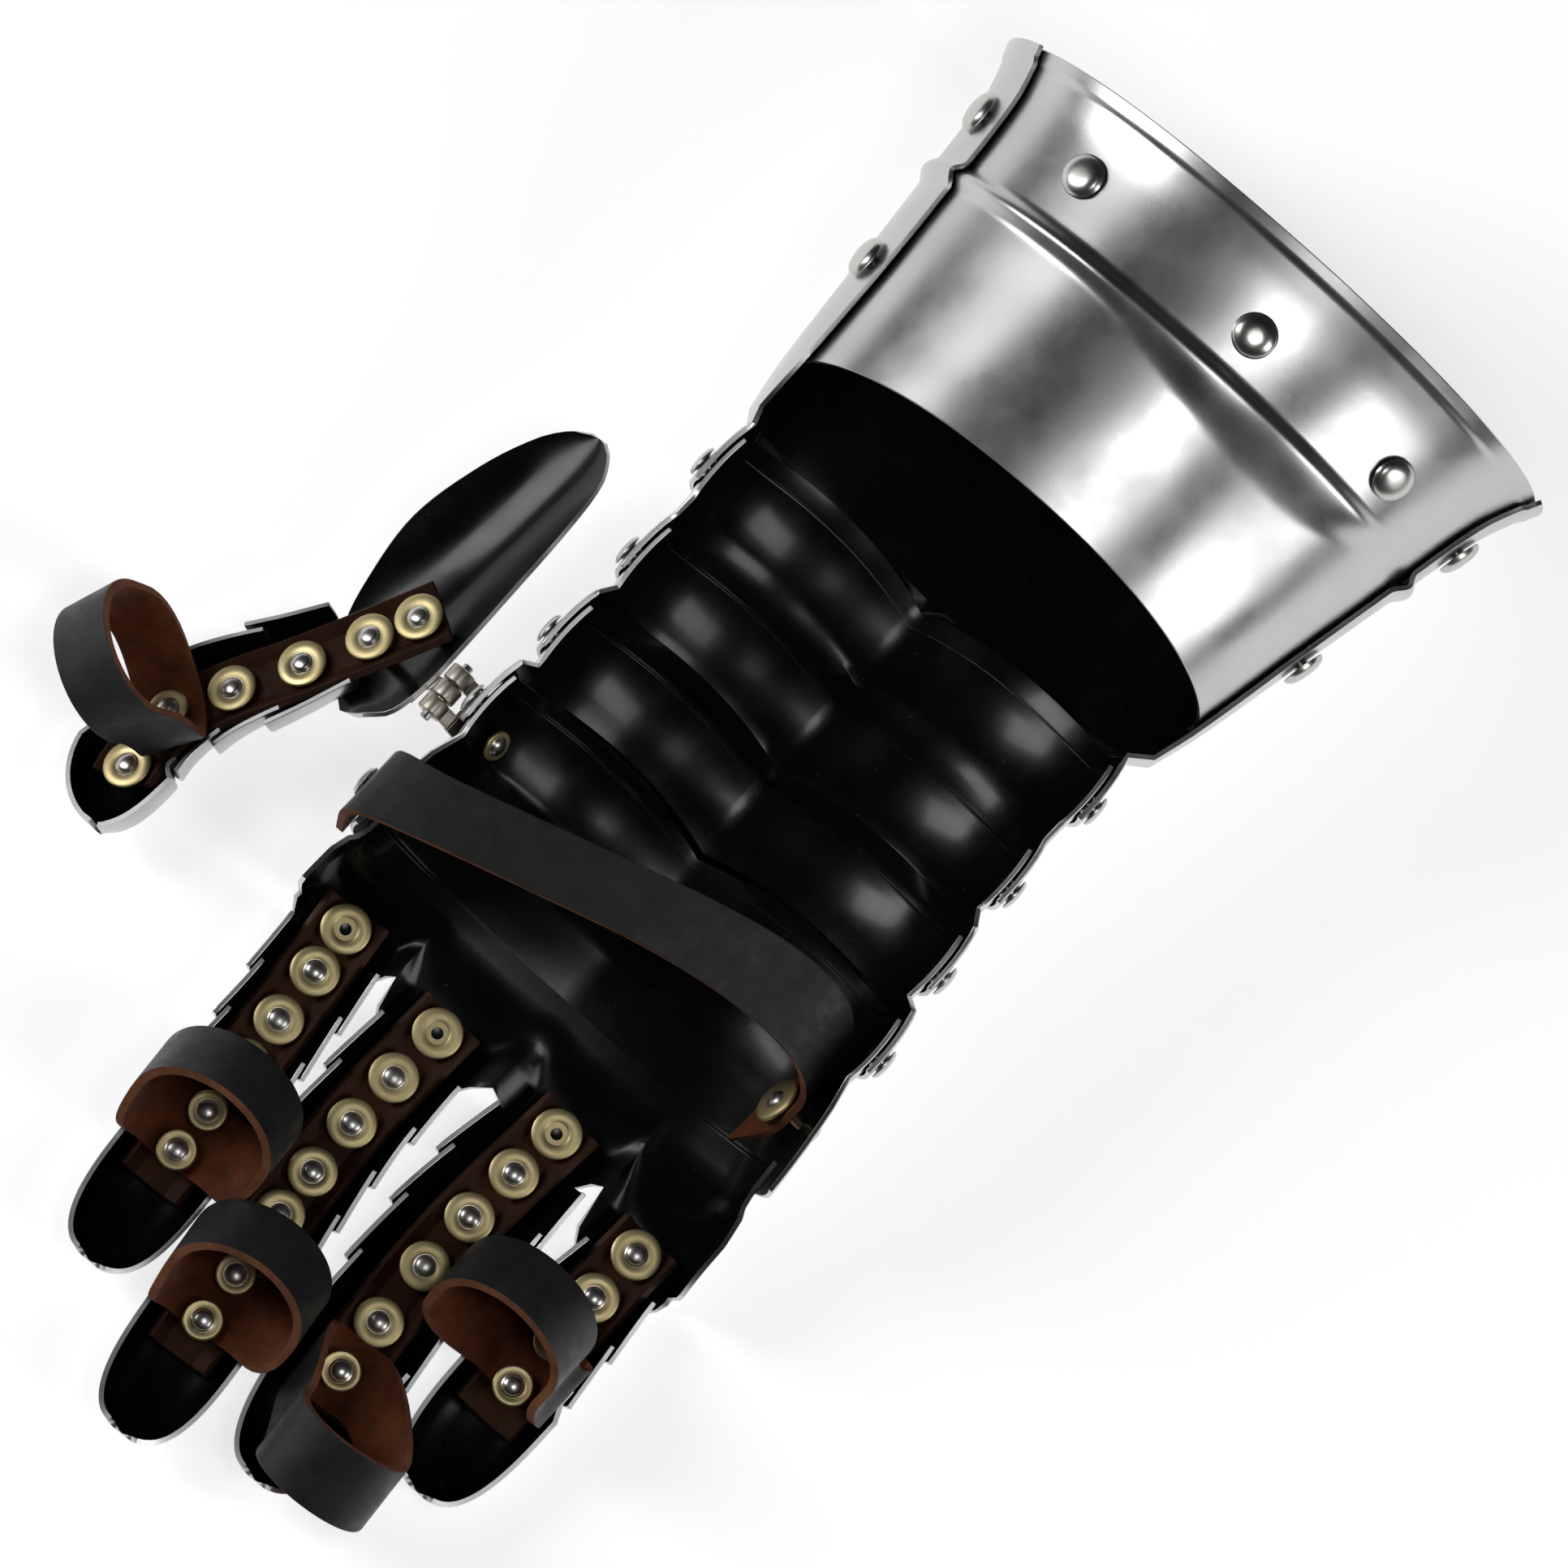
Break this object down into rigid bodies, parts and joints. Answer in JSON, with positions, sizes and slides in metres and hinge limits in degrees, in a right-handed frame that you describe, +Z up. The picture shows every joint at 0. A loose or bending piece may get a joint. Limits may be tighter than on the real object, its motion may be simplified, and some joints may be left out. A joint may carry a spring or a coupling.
{
  "type": "armoured gauntlet",
  "caption": "Armoured gauntlet for the right hand: flared cuff, hinged wrist lames, hand and knuckle plates, finger and thumb lames on leather strips with loops, and a palm strap.",
  "frame": {"origin": "middle of the bounding box's bottom, on the surface that the gauntlet lies on", "axes": "+Z up, out of the palm; +Y from the fingertips to the mouth of the cuff; +X from the thumb side to the little finger side"},
  "size_m": [0.2476, 0.3868, 0.1249],
  "materials": {
    "polished_steel": "polished",
    "blackened_steel": "gloss black inside, polished steel outside",
    "dark_leather": "smooth dark grey with a raw tan edge",
    "brown_leather": "oiled dark brown",
    "brass": "dull"
  },
  "bodies": {
    "cuff": {"cuff_back": "polished_steel", "cuff_palm": "polished_steel", "rim_rivet_1": "polished_steel", "rim_rivet_2": "polished_steel", "rim_rivet_3": "polished_steel", "seam_rivet_little_1": "polished_steel", "seam_rivet_little_2": "polished_steel", "seam_rivet_thumb_1": "polished_steel", "seam_rivet_thumb_2": "polished_steel"},
    "wrist_1": {"wrist_lame_1": "blackened_steel"},
    "wrist_2": {"wrist_lame_2": "blackened_steel"},
    "wrist_3": {"wrist_lame_3": "blackened_steel"},
    "hand": {"hinge_leaf_hand": "blackened_steel", "hinge_pin": "brass", "index_lame_1": "blackened_steel", "index_lame_2": "blackened_steel", "index_lame_3": "blackened_steel", "index_lame_4": "blackened_steel", "index_loop": "dark_leather", "index_strip": "brown_leather", "index_tip": "blackened_steel", "knuckle_plate": "blackened_steel", "little_lame_1": "blackened_steel", "little_lame_2": "blackened_steel", "little_loop": "dark_leather", "little_strip": "brown_leather", "little_tip": "blackened_steel", "metacarpal_plate": "blackened_steel", "middle_lame_1": "blackened_steel", "middle_lame_2": "blackened_steel", "middle_lame_3": "blackened_steel", "middle_lame_4": "blackened_steel", "middle_lame_5": "blackened_steel", "middle_loop": "dark_leather", "middle_strip": "brown_leather", "middle_tip": "blackened_steel", "palm_strap": "dark_leather", "ring_lame_1": "blackened_steel", "ring_lame_2": "blackened_steel", "ring_lame_3": "blackened_steel", "ring_lame_4": "blackened_steel", "ring_loop": "dark_leather", "ring_strip": "brown_leather", "ring_tip": "blackened_steel", "strap_rivet_little": "brass", "strap_rivet_thumb": "brass"},
    "thumb": {"thumb_base_plate": "blackened_steel", "thumb_lame_1": "blackened_steel", "thumb_lame_2": "blackened_steel", "thumb_lame_3": "blackened_steel", "thumb_loop": "dark_leather", "thumb_strip": "brown_leather", "thumb_tip": "blackened_steel", "hinge_leaf_thumb": "blackened_steel"}
  },
  "joints": [
    {"name": "wrist_pivot_1", "type": "hinge", "parent": "cuff", "child": "wrist_1", "pos_m": [0.0291, 0.06784, 0.064], "axis": [1, 0, 0], "range_deg": [-5, 5]},
    {"name": "wrist_pivot_2", "type": "hinge", "parent": "wrist_1", "child": "wrist_2", "pos_m": [0.0291, 0.04034, 0.061], "axis": [1, 0, 0], "range_deg": [-5, 5]},
    {"name": "wrist_pivot_3", "type": "hinge", "parent": "wrist_2", "child": "wrist_3", "pos_m": [0.0291, 0.01434, 0.057], "axis": [1, 0, 0], "range_deg": [-5, 5]},
    {"name": "wrist_pivot_4", "type": "hinge", "parent": "wrist_3", "child": "hand", "pos_m": [0.0291, -0.00966, 0.052], "axis": [1, 0, 0], "range_deg": [-5, 5]},
    {"name": "thumb_hinge", "type": "hinge", "parent": "hand", "child": "thumb", "pos_m": [-0.0423, -0.01166, 0.043], "axis": [0, 1, 0], "range_deg": [-10, 70]}
  ]
}
